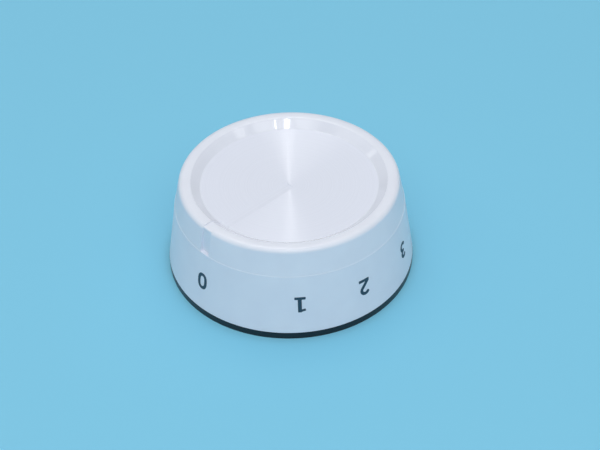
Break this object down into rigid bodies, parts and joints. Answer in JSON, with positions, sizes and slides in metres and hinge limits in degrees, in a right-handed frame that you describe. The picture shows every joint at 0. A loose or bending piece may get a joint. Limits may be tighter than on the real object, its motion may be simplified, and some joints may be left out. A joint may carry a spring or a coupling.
{
  "type": "appliance control knob",
  "caption": "Round push-on appliance knob: dished face with a pointer groove over the bevelled rim, drafted grip band, numbered dial skirt and a D-shaft socket.",
  "frame": {"origin": "centre of the foot, on the shaft axis, in the plane the knob stands on", "axes": "+Z along the shaft axis towards the face; the pointer groove and the numeral 0 lie at -Y; numerals rise anticlockwise seen from above"},
  "size_m": [0.05, 0.05, 0.02],
  "materials": {
    "white_moulding": "gloss white",
    "black_moulding": "matt black",
    "spring_steel": "rolled strip"
  },
  "bodies": {
    "root": {"cap": "white_moulding", "carrier": "black_moulding", "shaft_clip": "spring_steel"}
  },
  "joints": []
}
